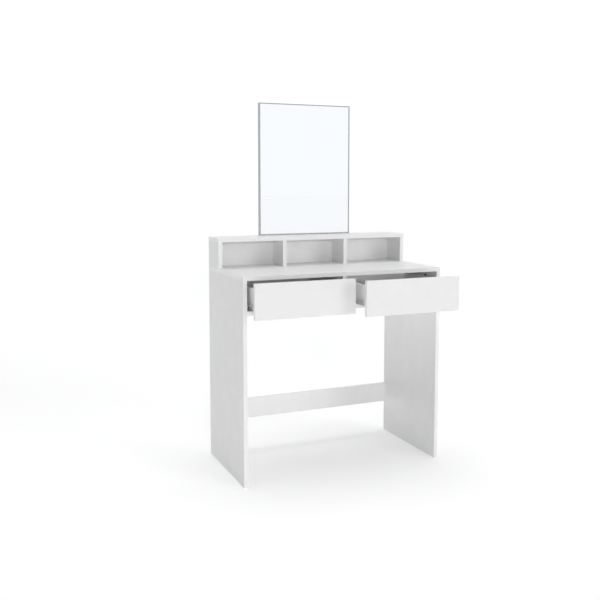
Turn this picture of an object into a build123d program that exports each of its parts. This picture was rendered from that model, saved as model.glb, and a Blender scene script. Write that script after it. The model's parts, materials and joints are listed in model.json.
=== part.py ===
from build123d import *
import os

# Vanity table with a mirror, two drawers and an open-fronted hutch of three compartments.
# +Z is up and the drawers open towards -Y. The origin is on the floor, under the middle of the
# whole piece as it stands with both drawers partly open. All sizes are in millimetres.

# ---------------------------------------------------------------- driving dimensions
WIDTH = 800.0  # over the side panels
DEPTH = 400.0  # of the side panels and the tabletop
TABLE_HEIGHT = 750.0  # upper face of the tabletop
BOARD = 15.0  # every carcass board

LEFT_OPEN = 74.0  # how far each drawer stands out at rest
RIGHT_OPEN = 152.0

STRETCHER_BOTTOM = 130.0
STRETCHER_HEIGHT = 80.0

BAY_FLOOR = 626.0  # upper face of the board under the drawers
BAY_SETBACK = 17.0  # the boards behind the closed drawer fronts start here

HUTCH_DEPTH = 125.0
HUTCH_CLEAR = 100.0  # height of the open compartments
HUTCH_BAYS = 3

MIRROR_WIDTH = 395.0
MIRROR_HEIGHT = 520.0
MIRROR_DEPTH = 16.0
MIRROR_FRONT = 374.0  # its front plane, measured back from the tabletop's front edge
FRAME_LIP = 4.0  # width of the frame seen from the front
FRAME_WALL = 1.5
GLASS = 4.0

STRAP = 2.5  # steel strap behind the mirror
STRAP_WIDTH = 20.0
STRAP_SPREAD = 240.0  # between the two straps' centre lines
STRAP_RISE = 120.0  # up the back of the mirror
STRAP_DROP = 60.0  # down the back of the hutch

FRONT_BOTTOM = 607.0
FRONT_REVEAL = 2.0  # gap between a drawer front and the boards round it
FRONT_GAP = 3.0  # gap between the two drawer fronts
DRAWER_BOARD = 12.0
DRAWER_LENGTH = 350.0
DRAWER_SIDE_BOTTOM = 638.0
DRAWER_SIDE_HEIGHT = 73.0
DRAWER_PLY = 3.0  # the drawer's bottom sheet
GROOVE_DEPTH = 5.0
GROOVE_RISE = 8.0  # bottom sheet above the lower edge of the drawer sides
SLIDE_GAP = 12.5  # between a drawer side and the board that carries its slide

# Roller slide: a channel on the cabinet and a rail on the drawer, each with one roller.
STEEL = 1.2
CHANNEL_BOTTOM = 629.5
CHANNEL_HEIGHT = 22.0
CHANNEL_LENGTH = 350.0
CHANNEL_FLANGE = 9.2  # reach of the channel's flanges from the board
CHANNEL_MOUTH = 24.0  # the upper flange starts this far in, behind the front roller
RAIL_FLANGE = 9.3  # reach of the rail's upper flange from its web
RAIL_CLEARANCE = 0.3  # rail flange above the channel
RAIL_SHELF = 11.0  # the rail's lower flange, under the drawer side
FRONT_ROLLER = 10.0  # radii
REAR_ROLLER = 9.4
ROLLER_WIDTH = 5.5
ROLLER_PLAY = 0.05  # between a roller's bore and its axle
AXLE = 2.0  # radii of the axle and of its head
AXLE_HEAD = 3.2
AXLE_HEAD_THICK = 0.7
FRONT_ROLLER_AT = 12.0  # its centre, behind the channel's front end
REAR_ROLLER_AT = 9.0  # its centre, ahead of the rail's rear end
SLIDE_TRAVEL = 260.0
STOP_HEIGHT = 2.3
STOP_LENGTH = 2.0
STOP_PLAY = 0.3  # between the stop and the rear roller when the drawer is fully out
AXLE_END_GAP = 2.5  # the channel's axle stops this far short of the drawer side's face
REAR_AXLE_GAP = 1.7  # and the rail's axle this far short of the board that carries the channel
FRONT_ROLLER_OFF = 3.2  # the front roller starts this far from the board
REAR_ROLLER_OFF = 2.6
CHANNEL_SCREW_AT = (50.0, 160.0, 270.0)  # behind the channel's front end
CHANNEL_STAGGER = 32.0  # one of the two channels on the partition has its screws this much further back
CHANNEL_SLOT_AT = (105.0, 215.0, 325.0)  # spare slots, behind the channel's front end
RAIL_SCREW_AT = (60.0, 180.0, 300.0)  # behind the drawer front's rear face
RAIL_SCREW_RISE = 5.0  # above the lower edge of the drawer side
RAIL_SLOT_AT = (20.0, 40.0, 80.0, 100.0, 140.0, 220.0, 260.0, 320.0)
RAIL_HOLE_AT = (10.0, 30.0, 70.0, 90.0, 120.0, 160.0, 200.0, 240.0, 280.0)
RAIL_HOLE_RISE = 9.0  # of the spare slots and holes, above the lower edge of the drawer side
SPARE_HOLE = 2.4  # radius
SPARE_SLOT_LENGTH = 8.0
SPARE_SLOT_WIDTH = 4.4

# Fittings
FIT = 0.1  # clearance round a fitting in its hole
CAM_RADIUS = 7.5  # this and the thread, neck, head, dowel and screw sizes below are radii
CAM_DEPTH = 12.5
SMALL_CAM_DEPTH = 9.5  # in the 12 mm drawer boards
CAM_REACH = 24.0  # cam centre behind the board's edge
CAM_SLOT = 9.0  # length, width and depth of the cross slot in a cam's face
CAM_SLOT_WIDTH = 1.6
CAM_SLOT_DEPTH = 1.8
BOLT_THREAD = 2.5
BOLT_NECK = 2.0
BOLT_HEAD = 3.0
BOLT_HEAD_LENGTH = 3.0
BOLT_BITE = 11.0  # how deep a cam bolt is screwed in
DOWEL = 4.0
DOWEL_BITE = 9.5  # in the faced board; the rest is in the board's edge
DOWEL_REACH = 20.0
SMALL_DOWEL = 3.0
SCREW = 1.75
SCREW_HEAD = 3.5
SCREW_HEAD_DEPTH = 2.0
LONG_SCREW = 45.0  # lengths
REAR_SCREW = 40.0
STRAP_SCREW = 12.0
CHANNEL_SCREW = 12.0
BACK_SCREW = 30.0
RAIL_SCREW = 10.0
CROSS_SLOT = 3.6  # screw recess: length, width and depth
CROSS_SLOT_WIDTH = 0.9
CROSS_SLOT_DEPTH = 1.1

# Where the fittings sit: distances behind the front plane of the table or of the hutch
SIDE_CAM_AT = (80.0, 320.0)
SIDE_DOWEL_AT = (40.0, 200.0, 340.0)
PARTITION_CAM_AT = (60.0, 345.0)
PARTITION_DOWEL_AT = (130.0, 250.0)
HUTCH_SCREW_AT = (30.0, 75.0)
HUTCH_DOWEL_AT = (30.0, 85.0)
DOWEL_OFFSET = 25.0  # dowels above and below a cam at a board's end
HUTCH_TOP_CAM_X = (-300.0, 0.0, 300.0)
MIRROR_SCREW_RISE = (60.0, 105.0)  # above the hutch top
STRAP_FOOT_SCREW_DROP = (12.0, 34.0)  # below the hutch top board
SMALL_CAM_RISE = 35.0  # these four above the lower edge of the drawer sides
SMALL_DOWEL_RISE = 57.0
BACK_SCREW_RISE = (24.0, 54.0)

# ---------------------------------------------------------------- derived places
SIDE = WIDTH / 2  # outer face of the right side panel
INNER = SIDE - BOARD
FRONT = (RIGHT_OPEN - DEPTH - STRAP) / 2  # front plane of the table
BACK = FRONT + DEPTH
UNDERSIDE = TABLE_HEIGHT - BOARD
HUTCH_FRONT = BACK - HUTCH_DEPTH
HUTCH_SIDE_TOP = TABLE_HEIGHT + HUTCH_CLEAR
HUTCH_TOP = HUTCH_SIDE_TOP + BOARD
BAY_WIDTH = (WIDTH - (HUTCH_BAYS + 1) * BOARD) / HUTCH_BAYS  # one compartment
DIVIDER_X = BAY_WIDTH / 2 + BOARD / 2  # centre of the right divider
MIRROR_Y = FRONT + MIRROR_FRONT
MIRROR_BACK = MIRROR_Y + MIRROR_DEPTH
MIRROR_TOP = HUTCH_TOP + MIRROR_HEIGHT
FRONT_TOP = UNDERSIDE - FRONT_REVEAL
DRAWER_SIDE_TOP = DRAWER_SIDE_BOTTOM + DRAWER_SIDE_HEIGHT
SHEET_BOTTOM = DRAWER_SIDE_BOTTOM + GROOVE_RISE
SHEET_TOP = SHEET_BOTTOM + DRAWER_PLY
CHANNEL_FRONT = FRONT + BAY_SETBACK
CHANNEL_TOP = CHANNEL_BOTTOM + CHANNEL_HEIGHT
RAIL_TOP_UNDER = CHANNEL_TOP + RAIL_CLEARANCE
HALF = BOARD / 2
FLOOR_MID = BAY_FLOOR - HALF
REAR_MID = BACK - HALF
STRETCHER_MID = STRETCHER_BOTTOM + STRETCHER_HEIGHT / 2
BAY_BACK_MID = (BAY_FLOOR + UNDERSIDE) / 2
HUTCH_MID = (TABLE_HEIGHT + HUTCH_SIDE_TOP) / 2

OUT = "parts"
os.makedirs(OUT, exist_ok=True)


# ---------------------------------------------------------------- helpers
def save(part, name):
    """Labels one finished piece and writes it."""
    part.label = name
    export_step(part, f"{OUT}/{name}.step")


def middle(pair):
    return (pair[0] + pair[1]) / 2


def slab(x, y, z, mode=Mode.ADD):
    """A box between two limits on each axis, in the part being built."""
    with BuildSketch(Plane.XY.offset(z[0])) as outline:
        with Locations((middle(x), middle(y))):
            Rectangle(x[1] - x[0], y[1] - y[0])
    extrude(outline.sketch, amount=z[1] - z[0], mode=mode)


def rod(start, direction, length, radius, mode=Mode.ADD):
    """A cylinder from a point along a direction, in the part being built."""
    with BuildSketch(Plane(origin=start, z_dir=direction)) as disc:
        Circle(radius)
    extrude(disc.sketch, amount=length, mode=mode)


def along(point, direction, distance):
    return tuple(p + d * distance for p, d in zip(point, direction))


def reverse(direction):
    return tuple(-d for d in direction)


def cross_slot(face_point, inward, length, width, depth):
    """Cuts a cross-shaped driver recess into a round face."""
    with BuildSketch(Plane(origin=face_point, z_dir=inward)) as cross:
        Rectangle(length, width)
        Rectangle(width, length)
    extrude(cross.sketch, amount=depth, mode=Mode.SUBTRACT)


class CamJoint:
    """A cam disc in one board's face, pulling on a bolt screwed into the other board.

    seam: the point where the bolt's axis crosses from the bolted board into the cam's board
    into: unit direction from the bolted board into the cam's board
    face: unit normal of the face that the cam is set in
    thick: thickness of the cam's board
    """

    def __init__(self, seam, into, face, thick=BOARD, depth=CAM_DEPTH):
        self.seam, self.into, self.face = seam, into, face
        self.thick, self.depth = thick, depth
        centre = along(seam, into, CAM_REACH)
        self.cam_face = along(centre, face, thick / 2)
        self.tail = along(seam, into, -BOLT_BITE)

    def bore_cam_board(self):
        rod(self.cam_face, reverse(self.face), self.depth + FIT, CAM_RADIUS + FIT, Mode.SUBTRACT)
        rod(self.seam, self.into, CAM_REACH, BOLT_HEAD + FIT, Mode.SUBTRACT)

    def bore_bolt_board(self):
        rod(self.seam, reverse(self.into), BOLT_BITE + FIT, BOLT_THREAD + FIT, Mode.SUBTRACT)

    def cam(self):
        rod(self.cam_face, reverse(self.face), self.depth, CAM_RADIUS)
        start = along(self.seam, self.into, CAM_REACH - CAM_RADIUS - FIT)
        rod(start, self.into, CAM_RADIUS + BOLT_HEAD_LENGTH, BOLT_HEAD + FIT, Mode.SUBTRACT)
        cross_slot(self.cam_face, reverse(self.face), CAM_SLOT, CAM_SLOT_WIDTH, CAM_SLOT_DEPTH)

    def bolt(self):
        rod(self.tail, self.into, BOLT_BITE, BOLT_THREAD)
        rod(self.seam, self.into, CAM_REACH, BOLT_NECK)
        head = along(self.seam, self.into, CAM_REACH - BOLT_HEAD_LENGTH / 2)
        rod(head, self.into, BOLT_HEAD_LENGTH, BOLT_HEAD - FIT)


class DowelJoint:
    """A wooden dowel across the seam between two boards."""

    def __init__(self, seam, into, radius=DOWEL):
        self.seam, self.into, self.radius = seam, into, radius

    def bore_edge(self):
        rod(self.seam, self.into, DOWEL_REACH + FIT, self.radius + FIT, Mode.SUBTRACT)

    def bore_face(self):
        rod(self.seam, reverse(self.into), DOWEL_BITE + FIT, self.radius + FIT, Mode.SUBTRACT)

    def dowel(self):
        start = along(self.seam, self.into, -DOWEL_BITE)
        rod(start, self.into, DOWEL_BITE + DOWEL_REACH, self.radius)


class Screw:
    """A countersunk wood screw, flush with the face it goes into."""

    def __init__(self, face_point, inward, length):
        self.face_point, self.inward, self.length = face_point, inward, length

    def cone(self, extra):
        """The head's two end circles, a little larger for its hole."""
        face = Plane(origin=self.face_point, z_dir=self.inward)
        with BuildSketch(face) as wide:
            Circle(SCREW_HEAD + extra)
        with BuildSketch(face.offset(SCREW_HEAD_DEPTH)) as narrow:
            Circle(SCREW + extra)
        return wide.sketch, narrow.sketch

    def bore(self):
        loft(sections=self.cone(FIT), mode=Mode.SUBTRACT)
        rod(self.face_point, self.inward, self.length + FIT, SCREW + FIT, Mode.SUBTRACT)

    def screw(self):
        loft(sections=self.cone(0))
        rod(self.face_point, self.inward, self.length, SCREW)
        cross_slot(self.face_point, self.inward, CROSS_SLOT, CROSS_SLOT_WIDTH, CROSS_SLOT_DEPTH)


RIGHT = (1, 0, 0)
REAR, AHEAD = (0, 1, 0), (0, -1, 0)
UP, DOWN = (0, 0, 1), (0, 0, -1)

# ---------------------------------------------------------------- where the fittings go
SIDES = (-1, 1)  # left and right
SIDE_CAM_Y = [FRONT + at for at in SIDE_CAM_AT]
SIDE_DOWEL_Y = [FRONT + at for at in SIDE_DOWEL_AT]
PANEL_MID = SIDE - HALF  # x of the middle of the right side panel's thickness

top_cams = {s: [CamJoint((s * PANEL_MID, y, UNDERSIDE), DOWN, (-s, 0, 0)) for y in SIDE_CAM_Y] for s in SIDES}
top_dowels = {s: [DowelJoint((s * PANEL_MID, y, UNDERSIDE), DOWN) for y in SIDE_DOWEL_Y] for s in SIDES}
floor_cams = {s: [CamJoint((s * INNER, y, FLOOR_MID), (-s, 0, 0), DOWN) for y in SIDE_CAM_Y] for s in SIDES}
floor_dowels = {s: [DowelJoint((s * INNER, y, FLOOR_MID), (-s, 0, 0)) for y in SIDE_DOWEL_Y] for s in SIDES}


def end_cam(s, z):
    """The cam joint between an upright board at the rear and one side."""
    return CamJoint((s * INNER, REAR_MID, z), (-s, 0, 0), REAR)


def end_dowels(s, z):
    """The two dowels above and below that cam."""
    return [DowelJoint((s * INNER, REAR_MID, z + dz), (-s, 0, 0)) for dz in (-DOWEL_OFFSET, DOWEL_OFFSET)]


stretcher_cams = {s: [end_cam(s, STRETCHER_MID)] for s in SIDES}
stretcher_dowels = {s: end_dowels(s, STRETCHER_MID) for s in SIDES}
back_cams = {s: [end_cam(s, BAY_BACK_MID)] for s in SIDES}
back_dowels = {s: end_dowels(s, BAY_BACK_MID) for s in SIDES}
hutch_end_cams = {s: [end_cam(s, HUTCH_MID)] for s in SIDES}

PARTITION_CAM_Y = [FRONT + at for at in PARTITION_CAM_AT]
PARTITION_DOWEL_Y = [FRONT + at for at in PARTITION_DOWEL_AT]
partition_cams = [CamJoint((0, y, UNDERSIDE), DOWN, RIGHT) for y in PARTITION_CAM_Y]
partition_dowels = [DowelJoint((0, y, UNDERSIDE), DOWN) for y in PARTITION_DOWEL_Y]
partition_foot_dowels = [DowelJoint((0, y, BAY_FLOOR), UP) for y in PARTITION_DOWEL_Y]
partition_screws = [Screw((0, y, BAY_FLOOR - BOARD), UP, LONG_SCREW) for y in PARTITION_CAM_Y]

HUTCH_UPRIGHTS = (-PANEL_MID, -DIVIDER_X, DIVIDER_X, PANEL_MID)
HUTCH_DIVIDERS = (-DIVIDER_X, DIVIDER_X)
hutch_screws = {x: [Screw((x, HUTCH_FRONT + at, UNDERSIDE), UP, LONG_SCREW) for at in HUTCH_SCREW_AT]
                for x in HUTCH_UPRIGHTS}
hutch_dowels = {x: [DowelJoint((x, HUTCH_FRONT + at, HUTCH_SIDE_TOP), DOWN) for at in HUTCH_DOWEL_AT]
                for x in HUTCH_UPRIGHTS}
hutch_top_cams = [CamJoint((x, REAR_MID, HUTCH_SIDE_TOP), DOWN, REAR) for x in HUTCH_TOP_CAM_X]
hutch_rear_screws = {x: [Screw((x, BACK, HUTCH_MID + dz), AHEAD, REAR_SCREW)
                         for dz in (-DOWEL_OFFSET, DOWEL_OFFSET)] for x in HUTCH_DIVIDERS}

STRAP_X = (-STRAP_SPREAD / 2, STRAP_SPREAD / 2)
mirror_screws = [Screw((x, MIRROR_BACK + STRAP, HUTCH_TOP + rise), AHEAD, STRAP_SCREW)
                 for x in STRAP_X for rise in MIRROR_SCREW_RISE]
strap_foot_screws = [Screw((x, BACK + STRAP, HUTCH_SIDE_TOP - drop), AHEAD, STRAP_SCREW)
                     for x in STRAP_X for drop in STRAP_FOOT_SCREW_DROP]

# Slides: one entry for each of the four channels. wall is the x of the board face that carries the
# channel and inward the direction from it to the drawer. The screws of the two channels on the
# partition are staggered, so that they pass each other in its thickness.
SLIDES = {
    "left_bay_left": {"wall": -INNER, "inward": 1, "stagger": 0.0},
    "left_bay_right": {"wall": -HALF, "inward": -1, "stagger": 0.0},
    "right_bay_left": {"wall": HALF, "inward": 1, "stagger": CHANNEL_STAGGER},
    "right_bay_right": {"wall": INNER, "inward": -1, "stagger": 0.0},
}
CHANNEL_MID = CHANNEL_BOTTOM + CHANNEL_HEIGHT / 2
for slide in SLIDES.values():
    steel_face = slide["wall"] + slide["inward"] * STEEL
    first = CHANNEL_FRONT + slide["stagger"]
    slide["screws"] = [
        Screw((steel_face, first + at, CHANNEL_MID), (-slide["inward"], 0, 0), CHANNEL_SCREW)
        for at in CHANNEL_SCREW_AT
    ]


def bore_channel_screws(*names):
    """Pilot holes for the channels that one board carries."""
    for name in names:
        for screw in SLIDES[name]["screws"]:
            screw.bore()


# ---------------------------------------------------------------- carcass
with BuildPart() as tabletop:
    slab((-SIDE, SIDE), (FRONT, BACK), (UNDERSIDE, TABLE_HEIGHT))
    for s in SIDES:
        for joint in top_cams[s]:
            joint.bore_bolt_board()
        for joint in top_dowels[s]:
            joint.bore_face()
    for joint in partition_cams:
        joint.bore_bolt_board()
    for joint in partition_dowels:
        joint.bore_face()
    for x in HUTCH_UPRIGHTS:
        for screw in hutch_screws[x]:
            screw.bore()
save(tabletop.part, "tabletop")

for s, name, slide in (
    (-1, "left_side_panel", "left_bay_left"),
    (1, "right_side_panel", "right_bay_right"),
):
    outer, inner = s * SIDE, s * INNER
    with BuildPart() as side_panel:
        slab(sorted((outer, inner)), (FRONT, BACK), (0, UNDERSIDE))
        for joint in top_cams[s]:
            joint.bore_cam_board()
        for joint in top_dowels[s]:
            joint.bore_edge()
        for joint in floor_cams[s] + stretcher_cams[s] + back_cams[s]:
            joint.bore_bolt_board()
        for joint in floor_dowels[s] + stretcher_dowels[s] + back_dowels[s]:
            joint.bore_face()
        bore_channel_screws(slide)
    save(side_panel.part, name)

with BuildPart() as bay_bottom:
    slab((-INNER, INNER), (FRONT + BAY_SETBACK, BACK), (BAY_FLOOR - BOARD, BAY_FLOOR))
    for s in SIDES:
        for joint in floor_cams[s]:
            joint.bore_cam_board()
        for joint in floor_dowels[s]:
            joint.bore_edge()
    for joint in partition_foot_dowels:
        joint.bore_face()
    for screw in partition_screws:
        screw.bore()
save(bay_bottom.part, "bay_bottom")

with BuildPart() as centre_partition:
    slab((-HALF, HALF), (FRONT + BAY_SETBACK, BACK - BOARD), (BAY_FLOOR, UNDERSIDE))
    for joint in partition_cams:
        joint.bore_cam_board()
    for joint in partition_dowels + partition_foot_dowels:
        joint.bore_edge()
    for screw in partition_screws:
        screw.bore()
    bore_channel_screws("left_bay_right", "right_bay_left")
save(centre_partition.part, "centre_partition")

STRETCHER_TOP = STRETCHER_BOTTOM + STRETCHER_HEIGHT
for name, low, high, cams, dowels in (
    ("bay_back", BAY_FLOOR, UNDERSIDE, back_cams, back_dowels),
    ("rear_stretcher", STRETCHER_BOTTOM, STRETCHER_TOP, stretcher_cams, stretcher_dowels),
):
    with BuildPart() as rear_board:
        slab((-INNER, INNER), (BACK - BOARD, BACK), (low, high))
        for s in SIDES:
            for joint in cams[s]:
                joint.bore_cam_board()
            for joint in dowels[s]:
                joint.bore_edge()
    save(rear_board.part, name)

# ---------------------------------------------------------------- hutch
with BuildPart() as hutch_top:
    slab((-SIDE, SIDE), (HUTCH_FRONT, BACK), (HUTCH_SIDE_TOP, HUTCH_TOP))
    for x in HUTCH_UPRIGHTS:
        for joint in hutch_dowels[x]:
            joint.bore_face()
    for joint in hutch_top_cams:
        joint.bore_bolt_board()
save(hutch_top.part, "hutch_top")

for name, x in zip(("hutch_left_side", "hutch_left_divider", "hutch_right_divider", "hutch_right_side"),
                   HUTCH_UPRIGHTS):
    at_end = abs(x) > DIVIDER_X
    rear = BACK if at_end else BACK - BOARD
    with BuildPart() as upright:
        slab((x - HALF, x + HALF), (HUTCH_FRONT, rear), (TABLE_HEIGHT, HUTCH_SIDE_TOP))
        for joint in hutch_dowels[x]:
            joint.bore_edge()
        for screw in hutch_screws[x]:
            screw.bore()
        if at_end:
            for joint in hutch_end_cams[1 if x > 0 else -1]:
                joint.bore_bolt_board()
        else:
            for screw in hutch_rear_screws[x]:
                screw.bore()
    save(upright.part, name)

with BuildPart() as hutch_back:
    slab((-INNER, INNER), (BACK - BOARD, BACK), (TABLE_HEIGHT, HUTCH_SIDE_TOP))
    for joint in hutch_end_cams[-1] + hutch_end_cams[1] + hutch_top_cams:
        joint.bore_cam_board()
    for x in HUTCH_DIVIDERS:
        for screw in hutch_rear_screws[x]:
            screw.bore()
    for screw in strap_foot_screws:
        screw.bore()
save(hutch_back.part, "hutch_back")

# ---------------------------------------------------------------- mirror
GLASS_FRONT = MIRROR_Y + FRAME_WALL
GLASS_BACK = GLASS_FRONT + GLASS
INSIDE = MIRROR_WIDTH / 2 - FRAME_WALL
INSIDE_LOW = HUTCH_TOP + FRAME_WALL
INSIDE_HIGH = MIRROR_TOP - FRAME_WALL

with BuildPart() as mirror_glass:
    slab((-INSIDE, INSIDE), (GLASS_FRONT, GLASS_BACK), (INSIDE_LOW, INSIDE_HIGH))
save(mirror_glass.part, "mirror_glass")

with BuildPart() as mirror_backing:
    slab((-INSIDE, INSIDE), (GLASS_BACK, MIRROR_BACK), (INSIDE_LOW, INSIDE_HIGH))
    for screw in mirror_screws:
        screw.bore()
save(mirror_backing.part, "mirror_backing")


def corners(inset):
    """The mirror's four corners, going round, moved in by an inset."""
    x, low, high = MIRROR_WIDTH / 2 - inset, HUTCH_TOP + inset, MIRROR_TOP - inset
    return [(-x, low), (x, low), (x, high), (-x, high)]


# Each frame member is an L profile mitred at both ends: a wall round the edge and a lip in front.
FRAME_MEMBERS = ("mirror_frame_bottom", "mirror_frame_right", "mirror_frame_top", "mirror_frame_left")
for i, name in enumerate(FRAME_MEMBERS):
    j = (i + 1) % len(FRAME_MEMBERS)
    with BuildPart() as member:
        for inset, depth in ((FRAME_LIP, FRAME_WALL), (FRAME_WALL, MIRROR_DEPTH)):
            edge, inner = corners(0), corners(inset)
            with BuildSketch(Plane.XZ.offset(-MIRROR_Y)) as mitred:
                with BuildLine():
                    Polyline(edge[i], edge[j], inner[j], inner[i], close=True)
                make_face()
            extrude(mitred.sketch, amount=-depth)
    save(member.part, name)

with BuildPart() as mirror_straps:
    for x in STRAP_X:
        across = (x - STRAP_WIDTH / 2, x + STRAP_WIDTH / 2)
        slab(across, (MIRROR_BACK, MIRROR_BACK + STRAP), (HUTCH_TOP, HUTCH_TOP + STRAP_RISE))
        slab(across, (MIRROR_BACK, BACK + STRAP), (HUTCH_TOP, HUTCH_TOP + STRAP))
        slab(across, (BACK, BACK + STRAP), (HUTCH_TOP - STRAP_DROP, HUTCH_TOP + STRAP))
    for screw in mirror_screws + strap_foot_screws:
        screw.bore()
save(mirror_straps.part, "mirror_straps")

with BuildPart() as mirror_strap_screws:
    for screw in mirror_screws + strap_foot_screws:
        screw.screw()
save(mirror_strap_screws.part, "mirror_strap_screws")

# ---------------------------------------------------------------- fittings of the carcass and hutch
all_cams = (
    [c for group in (top_cams, floor_cams, stretcher_cams, back_cams, hutch_end_cams)
     for s in SIDES for c in group[s]]
    + partition_cams + hutch_top_cams
)
all_dowels = (
    [d for group in (top_dowels, floor_dowels, stretcher_dowels, back_dowels)
     for s in SIDES for d in group[s]]
    + partition_dowels + partition_foot_dowels
    + [d for x in HUTCH_UPRIGHTS for d in hutch_dowels[x]]
)
all_long_screws = partition_screws + [c for x in HUTCH_UPRIGHTS for c in hutch_screws[x]]

with BuildPart() as cam_discs:
    for joint in all_cams:
        joint.cam()
save(cam_discs.part, "cam_discs")

with BuildPart() as cam_bolts:
    for joint in all_cams:
        joint.bolt()
save(cam_bolts.part, "cam_bolts")

with BuildPart() as dowels:
    for joint in all_dowels:
        joint.dowel()
save(dowels.part, "dowels")

with BuildPart() as board_screws:
    for screw in all_long_screws:
        screw.screw()
save(board_screws.part, "board_screws")

with BuildPart() as hutch_rear_fixings:
    for x in HUTCH_DIVIDERS:
        for screw in hutch_rear_screws[x]:
            screw.screw()
save(hutch_rear_fixings.part, "hutch_rear_screws")

# ---------------------------------------------------------------- cabinet side of the slides
FRONT_ROLLER_Y = CHANNEL_FRONT + FRONT_ROLLER_AT
FRONT_ROLLER_Z = RAIL_TOP_UNDER - FIT - FRONT_ROLLER
REAR_ROLLER_Z = CHANNEL_BOTTOM + STEEL + FIT / 2 + REAR_ROLLER
CLOSED_BACK_OF_FRONT = FRONT + BOARD
RAIL_REAR_CLOSED = CLOSED_BACK_OF_FRONT + DRAWER_LENGTH
REAR_ROLLER_CLOSED = RAIL_REAR_CLOSED - REAR_ROLLER_AT
STOP_CHORD = (REAR_ROLLER**2 - (CHANNEL_TOP - STEEL - STOP_HEIGHT - REAR_ROLLER_Z) ** 2) ** 0.5
STOP_REAR = REAR_ROLLER_CLOSED - SLIDE_TRAVEL - STOP_CHORD - STOP_PLAY


def reach_from(base, way, distance):
    """Limits on x from a face to a distance in front of it."""
    return sorted((base, base + way * distance))


def spare_slot(x, y, z, across):
    """Cuts one rounded slot, long in y, through sheet steel whose face is at x."""
    with BuildSketch(Plane(origin=(x, y, z), x_dir=REAR, z_dir=across)) as slot:
        SlotOverall(SPARE_SLOT_LENGTH, SPARE_SLOT_WIDTH)
    extrude(slot.sketch, amount=STEEL, mode=Mode.SUBTRACT)


for key, slide in SLIDES.items():
    wall, way = slide["wall"], slide["inward"]
    across = (way, 0, 0)
    web = reach_from(wall, way, STEEL)
    flange = reach_from(wall, way, CHANNEL_FLANGE)
    ends = (CHANNEL_FRONT, CHANNEL_FRONT + CHANNEL_LENGTH)
    upper = (CHANNEL_FRONT + CHANNEL_MOUTH, ends[1])
    with BuildPart() as channel:
        slab(web, ends, (CHANNEL_BOTTOM, CHANNEL_TOP))
        slab(flange, ends, (CHANNEL_BOTTOM, CHANNEL_BOTTOM + STEEL))
        slab(flange, upper, (CHANNEL_TOP - STEEL, CHANNEL_TOP))
        slab(flange, (ends[1] - STEEL, ends[1]), (CHANNEL_BOTTOM, CHANNEL_TOP))
        slab(flange, (STOP_REAR - STOP_LENGTH, STOP_REAR), (CHANNEL_TOP - STEEL - STOP_HEIGHT, CHANNEL_TOP))
        axle_base = (wall, FRONT_ROLLER_Y, FRONT_ROLLER_Z)
        axle_length = SLIDE_GAP - AXLE_END_GAP
        rod(axle_base, across, axle_length, AXLE)
        rod(along(axle_base, across, axle_length - AXLE_HEAD_THICK), across, AXLE_HEAD_THICK, AXLE_HEAD)
        for screw in slide["screws"]:
            screw.bore()
        for at in CHANNEL_SLOT_AT:
            spare_slot(wall, CHANNEL_FRONT + at, CHANNEL_MID, across)
    save(channel.part, f"{key}_channel")

    with BuildPart() as front_roller:
        start = (wall + way * FRONT_ROLLER_OFF, FRONT_ROLLER_Y, FRONT_ROLLER_Z)
        rod(start, across, ROLLER_WIDTH, FRONT_ROLLER)
        rod(start, across, ROLLER_WIDTH, AXLE + ROLLER_PLAY, Mode.SUBTRACT)
    save(front_roller.part, f"{key}_channel_roller")

with BuildPart() as channel_screws:
    for slide in SLIDES.values():
        for screw in slide["screws"]:
            screw.screw()
save(channel_screws.part, "channel_screws")

# ---------------------------------------------------------------- drawers
SMALL_CAM_Z = DRAWER_SIDE_BOTTOM + SMALL_CAM_RISE
SMALL_DOWEL_Z = DRAWER_SIDE_BOTTOM + SMALL_DOWEL_RISE
BACK_SCREW_Z = [DRAWER_SIDE_BOTTOM + rise for rise in BACK_SCREW_RISE]
RAIL_SCREW_Z = DRAWER_SIDE_BOTTOM + RAIL_SCREW_RISE
RAIL_HOLE_Z = DRAWER_SIDE_BOTTOM + RAIL_HOLE_RISE

DRAWERS = {
    "left_drawer": {"slides": ("left_bay_left", "left_bay_right"), "open": LEFT_OPEN,
                    "front": (-INNER + FRONT_REVEAL, -FRONT_GAP / 2)},
    "right_drawer": {"slides": ("right_bay_left", "right_bay_right"), "open": RIGHT_OPEN,
                     "front": (FRONT_GAP / 2, INNER - FRONT_REVEAL)},
}

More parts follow.
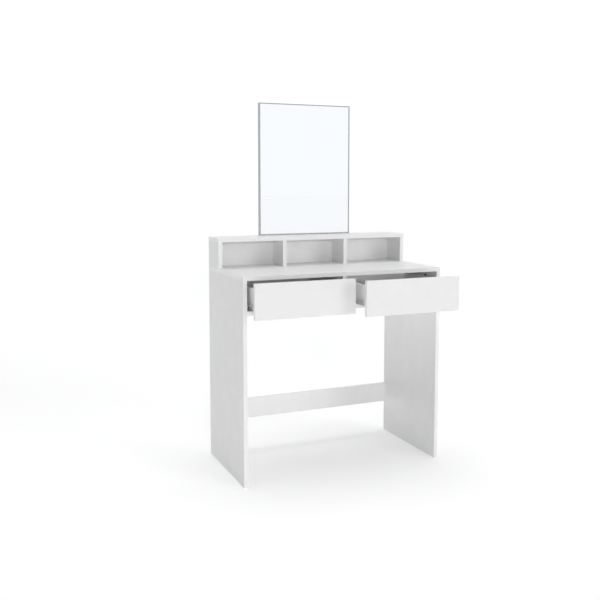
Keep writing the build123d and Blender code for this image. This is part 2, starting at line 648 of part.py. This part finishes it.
for drawer, spec in DRAWERS.items():
    face = FRONT - spec["open"]  # front plane of this drawer where it stands
    seam = face + BOARD  # rear face of its front board
    tail = seam + DRAWER_LENGTH
    walls = [SLIDES[key]["wall"] for key in spec["slides"]]
    outer = (walls[0] + SLIDE_GAP, walls[1] - SLIDE_GAP)
    inner = (outer[0] + DRAWER_BOARD, outer[1] - DRAWER_BOARD)
    sides = {"left_side": (outer[0], inner[0], 1), "right_side": (inner[1], outer[1], -1)}

    cams, pins, back_fixings, rail_fixings = [], [], [], []
    for low, high, way in sides.values():
        mid = (low + high) / 2
        skin = low if way > 0 else high  # outer face of this side
        cams.append(CamJoint((mid, seam, SMALL_CAM_Z), REAR, (way, 0, 0), DRAWER_BOARD, SMALL_CAM_DEPTH))
        pins.append(DowelJoint((mid, seam, SMALL_DOWEL_Z), REAR, SMALL_DOWEL))
        back_fixings.append([Screw((skin, tail - DRAWER_BOARD / 2, z), (way, 0, 0), BACK_SCREW)
                             for z in BACK_SCREW_Z])
        rail_fixings.append([Screw((skin - way * STEEL, seam + at, RAIL_SCREW_Z), (way, 0, 0), RAIL_SCREW)
                             for at in RAIL_SCREW_AT])
    sheet_x = (inner[0] - GROOVE_DEPTH, inner[1] + GROOVE_DEPTH)
    sheet_y = (seam - GROOVE_DEPTH, tail)

    with BuildPart() as drawer_front:
        slab(spec["front"], (face, seam), (FRONT_BOTTOM, FRONT_TOP))
        slab(sheet_x, (seam - GROOVE_DEPTH, seam), (SHEET_BOTTOM, SHEET_TOP), Mode.SUBTRACT)
        for joint in cams:
            joint.bore_bolt_board()
        for joint in pins:
            joint.bore_face()
    save(drawer_front.part, f"{drawer}_front")

    for i, (side, (low, high, way)) in enumerate(sides.items()):
        groove = (high - GROOVE_DEPTH, high) if way > 0 else (low, low + GROOVE_DEPTH)
        with BuildPart() as drawer_side:
            slab((low, high), (seam, tail), (DRAWER_SIDE_BOTTOM, DRAWER_SIDE_TOP))
            slab(groove, (seam, tail), (SHEET_BOTTOM, SHEET_TOP), Mode.SUBTRACT)
            cams[i].bore_cam_board()
            pins[i].bore_edge()
            for screw in back_fixings[i] + rail_fixings[i]:
                screw.bore()
        save(drawer_side.part, f"{drawer}_{side}")

    with BuildPart() as drawer_back:
        slab(inner, (tail - DRAWER_BOARD, tail), (SHEET_TOP, DRAWER_SIDE_TOP))
        for group in back_fixings:
            for screw in group:
                screw.bore()
    save(drawer_back.part, f"{drawer}_back")

    with BuildPart() as drawer_sheet:
        slab(sheet_x, sheet_y, (SHEET_BOTTOM, SHEET_TOP))
    save(drawer_sheet.part, f"{drawer}_bottom")

    for i, (side, (low, high, way)) in enumerate(sides.items()):
        skin = low if way > 0 else high
        outwards = (-way, 0, 0)
        web = reach_from(skin, -way, STEEL)
        shelf = reach_from(skin - way * STEEL, way, STEEL + RAIL_SHELF)
        lip = reach_from(skin, -way, STEEL + RAIL_FLANGE)
        axle_y, axle_z = tail - REAR_ROLLER_AT, REAR_ROLLER_Z
        reach = SLIDE_GAP - REAR_AXLE_GAP
        with BuildPart() as rail:
            slab(web, (seam, tail), (DRAWER_SIDE_BOTTOM - STEEL, RAIL_TOP_UNDER + STEEL))
            slab(shelf, (seam, tail), (DRAWER_SIDE_BOTTOM - STEEL, DRAWER_SIDE_BOTTOM))
            slab(lip, (seam, tail), (RAIL_TOP_UNDER, RAIL_TOP_UNDER + STEEL))
            axle_base = (skin, axle_y, axle_z)
            rod(axle_base, outwards, reach, AXLE)
            rod(along(axle_base, outwards, reach - AXLE_HEAD_THICK), outwards, AXLE_HEAD_THICK, AXLE_HEAD)
            for screw in rail_fixings[i]:
                screw.bore()
            for at in RAIL_SLOT_AT:
                spare_slot(skin, seam + at, RAIL_HOLE_Z, outwards)
            for at in RAIL_HOLE_AT:
                rod((skin, seam + at, RAIL_HOLE_Z), outwards, STEEL, SPARE_HOLE, Mode.SUBTRACT)
        save(rail.part, f"{drawer}_{side.split('_')[0]}_rail")

        wall = skin - way * SLIDE_GAP
        with BuildPart() as rear_roller:
            start = (wall + way * REAR_ROLLER_OFF, axle_y, axle_z)
            rod(start, (way, 0, 0), ROLLER_WIDTH, REAR_ROLLER)
            rod(start, (way, 0, 0), ROLLER_WIDTH, AXLE + ROLLER_PLAY, Mode.SUBTRACT)
        save(rear_roller.part, f"{drawer}_{side.split('_')[0]}_roller")

    with BuildPart() as drawer_cams:
        for joint in cams:
            joint.cam()
        for joint in cams:
            joint.bolt()
    save(drawer_cams.part, f"{drawer}_cams")

    with BuildPart() as drawer_screws:
        for group in back_fixings + rail_fixings:
            for screw in group:
                screw.screw()
    save(drawer_screws.part, f"{drawer}_screws")
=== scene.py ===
import json
import math
import bpy
import bmesh
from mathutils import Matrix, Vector


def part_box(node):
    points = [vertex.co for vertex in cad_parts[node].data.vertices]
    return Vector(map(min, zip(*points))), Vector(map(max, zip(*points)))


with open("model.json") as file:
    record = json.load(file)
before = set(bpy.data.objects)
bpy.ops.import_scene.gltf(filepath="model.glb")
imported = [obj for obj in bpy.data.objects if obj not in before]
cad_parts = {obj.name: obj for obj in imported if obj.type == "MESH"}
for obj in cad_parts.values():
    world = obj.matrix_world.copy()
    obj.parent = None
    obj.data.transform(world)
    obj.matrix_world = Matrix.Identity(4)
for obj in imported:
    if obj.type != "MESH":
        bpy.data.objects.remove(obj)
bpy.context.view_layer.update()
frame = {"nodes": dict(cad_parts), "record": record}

scene = bpy.context.scene
scene.view_settings.view_transform = "Standard"

MM = 0.001

# A noise output lies mostly between these two values.
NOISE_LOW = 0.3
NOISE_HIGH = 0.7


# ---------------------------------------------------------------- node helpers
class Nodes:
    """Adds nodes to one node tree. A value is either a plain number or colour, or another node's output."""

    def __init__(self, tree):
        self.tree = tree

    def node(self, kind, **settings):
        made = self.tree.nodes.new(kind)
        for key, value in settings.items():
            setattr(made, key, value)
        return made

    def feed(self, value, socket):
        """Links an output to a socket, or sets the socket to a plain number or colour."""
        if isinstance(value, bpy.types.NodeSocket):
            self.tree.links.new(value, socket)
        elif socket.type == "RGBA":
            socket.default_value = (*value, 1)
        else:
            socket.default_value = value

    def calculate(self, operation, *values):
        made = self.node("ShaderNodeMath", operation=operation)
        for value, socket in zip(values, made.inputs):
            self.feed(value, socket)
        return made.outputs[0]

    def spread(self, value, low, high, start=NOISE_LOW, end=NOISE_HIGH, ease="LINEAR"):
        """Maps a value from start..end to low..high, and holds it there beyond them."""
        made = self.node("ShaderNodeMapRange", interpolation_type=ease)
        for key, number in (("From Min", start), ("From Max", end), ("To Min", low), ("To Max", high)):
            made.inputs[key].default_value = number
        self.feed(value, made.inputs["Value"])
        return made.outputs["Result"]

    def mix(self, factor, a, b, data_type="RGBA"):
        """Mixes two colours, or two numbers with a data_type of FLOAT, by a factor."""
        made = self.node("ShaderNodeMix", data_type=data_type)
        socket_type = "VALUE" if data_type == "FLOAT" else data_type
        self.feed(factor, made.inputs["Factor"])
        for socket in made.inputs:
            if socket.type == socket_type and socket.name in ("A", "B"):
                self.feed(a if socket.name == "A" else b, socket)
        return next(s for s in made.outputs if s.type == socket_type)

    def noise(self, per_metre, detail=3.0, rough=0.5, stretch=(1, 1, 1)):
        """Noise with that many cells in a metre, in object coordinates stretched by a scale."""
        place = self.node("ShaderNodeMapping")
        place.inputs["Scale"].default_value = stretch
        self.feed(self.node("ShaderNodeTexCoord").outputs["Object"], place.inputs["Vector"])
        made = self.node("ShaderNodeTexNoise")
        for key, number in (("Scale", per_metre), ("Detail", detail), ("Roughness", rough)):
            made.inputs[key].default_value = number
        self.feed(place.outputs["Vector"], made.inputs["Vector"])
        return made.outputs["Fac"]


class Shader(Nodes):
    """One material's node tree, with its Principled shader."""

    def __init__(self, name):
        self.material = bpy.data.materials.new(name)
        self.material.use_nodes = True
        super().__init__(self.material.node_tree)

    def stain(self, colour, mask, most, tone, **limits):
        """Lays a tone over a colour where the mask is high, up to a share of most."""
        return self.mix(self.spread(mask, 0.0, most, **limits), colour, tone)

    def bump(self, height, depth, strength, after=None):
        made = self.node("ShaderNodeBump")
        self.feed(height, made.inputs["Height"])
        self.feed(depth, made.inputs["Distance"])
        self.feed(strength, made.inputs["Strength"])
        if after is not None:
            self.feed(after, made.inputs["Normal"])
        return made.outputs["Normal"]

    def finish(self, **values):
        """Feeds the shader's inputs, named with _ for each space, and returns the material."""
        principled = self.tree.nodes["Principled BSDF"]
        for key, value in values.items():
            self.feed(value, principled.inputs[key.replace("_", " ")])
        return self.material


# ---------------------------------------------------------------- materials
def darker(tone, share):
    return tuple(channel * share for channel in tone)


def edge_mask(shader, axis):
    """1 on a board's narrow edges and 0 on its broad faces, which face along the axis."""
    facing = shader.node("ShaderNodeSeparateXYZ")
    shader.feed(shader.node("ShaderNodeNewGeometry").outputs["Normal"], facing.inputs["Vector"])
    along = shader.calculate("ABSOLUTE", facing.outputs[axis])
    return shader.spread(along, low=0.0, high=1.0, start=0.85, end=0.5)


def melamine(axis):
    """White melamine board: pearl-grained faces with a faint long figure, and smoother, paler edge bands.
    Their paler tone is partly the edging's own colour and partly a painted highlight.

    axis: the one that the board's broad faces look along. Boards that face sideways get a darker base tone,
    which is painted shade for side faces, and have the stronger figure, which runs upright on them. On the
    other boards it runs from left to right.
    """
    sideways = axis == 0
    # The darker base tone of sideways boards is painted shade for their side faces.
    base_tone_shaded_sideways = (0.865, 0.865, 0.867) if sideways else (0.88, 0.88, 0.882)
    light = (0.90, 0.90, 0.901)
    # The edge bands' paler tone is partly the edging's own colour and partly a painted highlight.
    edge_tone_with_painted_highlight = (0.915, 0.915, 0.917)
    figure_tone = (0.80, 0.80, 0.806)
    grain_tone = (0.84, 0.84, 0.845)
    speck_tone = (0.76, 0.76, 0.76)
    figure_share = 0.20 if sideways else 0.08
    lengthwise = (1, 1, 0.05) if sideways else (0.05, 1, 1)

    shader = Shader(f"white_board_{'XYZ'[axis]}")
    edges = edge_mask(shader, axis)
    cloud = shader.noise(per_metre=22, detail=4)
    figure = shader.noise(per_metre=150, rough=0.6, stretch=lengthwise)
    grain = shader.noise(per_metre=850, detail=4, rough=0.6)
    specks = shader.noise(per_metre=2600, detail=1)
    smears = shader.noise(per_metre=9, rough=0.6)
    waves = shader.noise(per_metre=28, detail=1)

    face = shader.stain(base_tone_shaded_sideways, cloud, 1.0, light)
    face = shader.stain(face, figure, figure_share, figure_tone)
    face = shader.stain(face, grain, 0.10, grain_tone)
    face = shader.stain(face, specks, 0.05, speck_tone, start=0.45, end=0.75)
    matt = shader.spread(grain, low=0.34, high=0.46)
    smeared = shader.calculate("ADD", matt, shader.spread(smears, low=-0.03, high=0.05))
    pearl = shader.bump(grain, depth=0.05 * MM, strength=0.55)
    return shader.finish(
        Base_Color=shader.mix(edges, face, edge_tone_with_painted_highlight),
        Roughness=shader.mix(edges, smeared, 0.30, data_type="FLOAT"),
        Normal=shader.bump(waves, depth=0.08 * MM, strength=0.35, after=pearl),
        Specular_IOR_Level=0.45,
    )


def painted_steel(name, tone, roughness):
    """Epoxy or powder coat on steel, with a fine orange peel."""
    shader = Shader(name)
    peel = shader.noise(per_metre=1400, detail=2)
    return shader.finish(
        Base_Color=shader.stain(tone, shader.noise(per_metre=40), 1.0, darker(tone, 0.94)),
        Roughness=shader.spread(peel, low=roughness - 0.05, high=roughness + 0.06),
        Normal=shader.bump(peel, depth=0.03 * MM, strength=0.6),
    )


def bare_metal(name, tone, roughness, per_metre):
    """Plated or anodised metal with fine wear marks, that many in a metre, and dull patches."""
    shader = Shader(name)
    marks = shader.noise(per_metre, detail=4, rough=0.65)
    patches = shader.noise(per_metre=60, rough=0.6)
    return shader.finish(
        Base_Color=shader.stain(tone, patches, 1.0, darker(tone, 0.86)),
        Roughness=shader.spread(marks, low=roughness - 0.06, high=roughness + 0.10),
        Normal=shader.bump(marks, depth=0.012 * MM, strength=0.5),
        Metallic=1.0,
    )


def silvered_glass():
    """Mirror: almost perfect, with a slow drift of its cool tint and a faint haze of wiping marks."""
    cool, pale = (0.908, 0.926, 0.950), (0.916, 0.934, 0.955)
    shader = Shader("mirror")
    drift = shader.noise(per_metre=1.2, detail=1)
    wiping = shader.noise(per_metre=14, detail=5, rough=0.62, stretch=(1, 1, 0.35))
    return shader.finish(
        Base_Color=shader.stain(cool, drift, 1.0, pale),
        Roughness=shader.spread(wiping, low=0.004, high=0.022),
        Metallic=1.0,
    )


def fibreboard():
    """Raw pressed fibreboard: brown, matted fibres."""
    brown, light_brown, dark_brown = (0.24, 0.155, 0.085), (0.31, 0.21, 0.125), (0.13, 0.08, 0.045)
    shader = Shader("backing")
    fibres = shader.noise(per_metre=1500, detail=5, rough=0.7, stretch=(1, 0.4, 0.5))
    patched = shader.stain(brown, shader.noise(per_metre=45), 1.0, light_brown)
    return shader.finish(
        Base_Color=shader.stain(patched, fibres, 0.55, dark_brown),
        Roughness=shader.spread(fibres, low=0.62, high=0.86),
        Normal=shader.bump(fibres, depth=0.10 * MM, strength=0.8),
    )


def nylon():
    """Moulded roller plastic, milky and slightly waxy."""
    milky, grey = (0.70, 0.70, 0.685), (0.61, 0.61, 0.595)
    shader = Shader("roller_plastic")
    mist = shader.noise(per_metre=320)
    return shader.finish(
        Base_Color=shader.stain(milky, mist, 1.0, grey),
        Roughness=shader.spread(mist, low=0.34, high=0.48),
        Normal=shader.bump(mist, depth=0.03 * MM, strength=0.5),
        Subsurface_Weight=0.12,
        Subsurface_Scale=1.0 * MM,
    )


def beech():
    """Turned beech dowel with short dark rays along its grain."""
    blond, ray = (0.60, 0.40, 0.22), (0.42, 0.26, 0.13)
    shader = Shader("dowel_wood")
    grain = shader.noise(per_metre=900, detail=4, rough=0.6, stretch=(0.12, 0.12, 1))
    return shader.finish(
        Base_Color=shader.stain(blond, grain, 1.0, ray),
        Roughness=shader.spread(grain, low=0.5, high=0.7),
        Normal=shader.bump(grain, depth=0.05 * MM, strength=0.6),
    )


def faced_sheet():
    """Thin lacquered hardboard, with the fine dimples of its pressed back."""
    pale, base_tone_shaded_sideways, pit = (0.83, 0.83, 0.825), (0.80, 0.80, 0.795), (0.72, 0.72, 0.71)
    shader = Shader("drawer_sheet")
    dimples = shader.noise(per_metre=700)
    patched = shader.stain(pale, shader.noise(per_metre=8, detail=2), 1.0, base_tone_shaded_sideways)
    return shader.finish(
        Base_Color=shader.stain(patched, dimples, 0.15, pit),
        Roughness=shader.spread(dimples, low=0.40, high=0.55),
        Normal=shader.bump(dimples, depth=0.04 * MM, strength=0.6),
    )


# ---------------------------------------------------------------- looks of the CAD's own pieces
BOARDS = "white_board"
boards = [melamine(axis) for axis in range(3)]
by_slot = {
    "drawer_sheet": faced_sheet(),
    "mirror": silvered_glass(),
    "backing": fibreboard(),
    "frame_aluminium": bare_metal("frame_aluminium", (0.42, 0.43, 0.45), roughness=0.34, per_metre=1600),
    "strap_steel": painted_steel("strap_steel", (0.70, 0.70, 0.705), roughness=0.36),
    "fitting_steel": bare_metal("fitting_steel", (0.62, 0.61, 0.58), roughness=0.30, per_metre=1200),
    "cam_zinc": bare_metal("cam_zinc", (0.45, 0.45, 0.46), roughness=0.42, per_metre=900),
    "dowel_wood": beech(),
    "slide_steel": bare_metal("slide_steel", (0.70, 0.70, 0.69), roughness=0.40, per_metre=1200),
    "roller_plastic": nylon(),
}

# How far the sharp edges of each slot's pieces are broken, in mm. Screws, bolts, cams and dowels stay sharp.
EDGE_BREAKS = {
    BOARDS: 0.5,
    "drawer_sheet": 0.3,
    "mirror": 0.4,
    "backing": 0.3,
    "frame_aluminium": 0.25,
    "strap_steel": 0.3,
    "slide_steel": 0.25,
    "roller_plastic": 0.6,
}
SHARP_FROM = 55         # degrees between two faces
BREAK_SEGMENTS = 2


def thin_axis(name):
    """The axis along which a board is thinnest, which its broad faces look along."""
    low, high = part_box(name)
    size = high - low
    return min(range(3), key=lambda axis: size[axis])


def break_edges(obj, width):
    bevel = obj.modifiers.new("soft_edges", "BEVEL")
    bevel.width = width
    bevel.segments = BREAK_SEGMENTS
    bevel.limit_method = "ANGLE"
    bevel.angle_limit = math.radians(SHARP_FROM)


slot_of = {part["node"]: part["material_slot"] for part in frame["record"]["subparts"]}
for name, obj in frame["nodes"].items():
    slot = slot_of[name]
    material = boards[thin_axis(name)] if slot == BOARDS else by_slot[slot]
    for holder in obj.material_slots:
        holder.material = material
    if slot in EDGE_BREAKS:
        break_edges(obj, EDGE_BREAKS[slot] * MM)


# ---------------------------------------------------------------- floor
FLOOR_REACH = 60.0    # metres from the middle to each side
FLOOR_GLOW = 0.19


def floor_paint():
    """Almost white. It glows faintly, as a lit studio table does, so that shadows on it stay light."""
    base_tone_shaded_sideways, bright, glow = (0.98, 0.98, 0.98), (0.99, 0.99, 0.99), (1.0, 1.0, 1.0)
    shader = Shader("floor")
    return shader.finish(
        Base_Color=shader.stain(base_tone_shaded_sideways, shader.noise(per_metre=0.7, detail=2), 1.0, bright),
        Roughness=shader.spread(shader.noise(per_metre=60, detail=2), low=0.75, high=0.9),
        Emission_Color=glow,
        Emission_Strength=FLOOR_GLOW,
    )


floor_mesh = bpy.data.meshes.new("floor")
builder = bmesh.new()
bmesh.ops.create_grid(builder, x_segments=1, y_segments=1, size=FLOOR_REACH)
builder.to_mesh(floor_mesh)
builder.free()
floor_mesh.materials.append(floor_paint())
floor = bpy.data.objects.new("floor", floor_mesh)
scene.collection.objects.link(floor)

# ---------------------------------------------------------------- light
# A white room. Seen directly or in the mirror it is plain white, and as a light it is bright
# overhead and dimmer towards the horizon, most of all in front, where the soft boxes stand.
ROOM_TINT = (0.99, 0.995, 1.0)
ROOM_SEEN = 1.05    # strength where it is seen, directly or in a reflection
OVERHEAD = 0.86     # strength as a light, from above
HORIZON = 0.08      # strength as a light, from low down
FRONT_DIM = 0.85    # what the strength as a light loses on each side
SIDE_DIM = 0.45
REAR_DIM = 0.20

world = bpy.data.worlds.new("studio")
scene.world = world
world.use_nodes = True
room = Nodes(world.node_tree)
direction = room.node("ShaderNodeSeparateXYZ")
room.feed(room.node("ShaderNodeTexCoord").outputs["Generated"], direction.inputs["Vector"])
across, back, up = direction.outputs
light = room.spread(up, low=HORIZON, high=OVERHEAD, start=0.1, end=0.6, ease="SMOOTHSTEP")

# Each row: a part of the direction, where on it the dimming starts and is full, and the strength it takes.
for along, start, full, loss in (
    (back, 0.1, -0.7, FRONT_DIM),
    (room.calculate("ABSOLUTE", across), 0.0, 0.8, SIDE_DIM),
    (back, 0.2, 0.9, REAR_DIM),
):
    dimming = room.spread(along, low=0.0, high=loss, start=start, end=full, ease="SMOOTHSTEP")
    light = room.calculate("SUBTRACT", light, dimming)
diffuse = room.node("ShaderNodeLightPath").outputs["Is Diffuse Ray"]
as_light = room.calculate("MULTIPLY", room.calculate("MAXIMUM", light, 0.0), diffuse)
as_seen = room.calculate("MULTIPLY", room.calculate("SUBTRACT", 1.0, diffuse), ROOM_SEEN)
background = world.node_tree.nodes["Background"]
room.feed(ROOM_TINT, background.inputs["Color"])
room.feed(room.calculate("ADD", as_seen, as_light), background.inputs["Strength"])


def soft_light(name, azimuth, elevation, strength, spread):
    """A distant soft box. Azimuth 0 is in front of the table and 90 is on its right, in degrees."""
    around, above = math.radians(azimuth), math.radians(elevation)
    level = math.cos(above)
    towards = Vector((math.sin(around) * level, -math.cos(around) * level, math.sin(above)))
    data = bpy.data.lights.new(name, "SUN")
    data.energy = strength
    data.angle = math.radians(spread)
    lamp = bpy.data.objects.new(name, data)
    lamp.rotation_euler = (-towards).to_track_quat("-Z", "Y").to_euler()
    lamp.visible_glossy = False
    scene.collection.objects.link(lamp)


soft_light("key", azimuth=36, elevation=14, strength=0.62, spread=26)
soft_light("fill", azimuth=-14, elevation=7, strength=0.66, spread=6)
soft_light("top", azimuth=10, elevation=84, strength=1.24, spread=60)

# ---------------------------------------------------------------- camera
# It looks a little down from the front left.
CAMERA_LEFT = 1.28897     # metres from the middle of the tabletop
CAMERA_FRONT = 2.54742    # metres from the tabletop's front edge
CAMERA_HEIGHT = 1.06953   # metres from the floor
LOOK_DOWN = 5.17          # degrees from level
LOOK_RIGHT = 23.41        # degrees from straight towards the rear
LENS = 47.297             # mm
SENSOR = 36.0             # mm
SHIFT_DOWN = 0.075        # share of the picture's width

top_low, top_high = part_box("tabletop")
camera_data = bpy.data.cameras.new("camera")
camera_data.lens = LENS
camera_data.sensor_width = SENSOR
camera_data.shift_y = -SHIFT_DOWN
camera = bpy.data.objects.new("camera", camera_data)
camera.location = ((top_low.x + top_high.x) / 2 - CAMERA_LEFT, top_low.y - CAMERA_FRONT, CAMERA_HEIGHT)
camera.rotation_euler = (math.radians(90 - LOOK_DOWN), 0, math.radians(-LOOK_RIGHT))
scene.collection.objects.link(camera)
scene.camera = camera
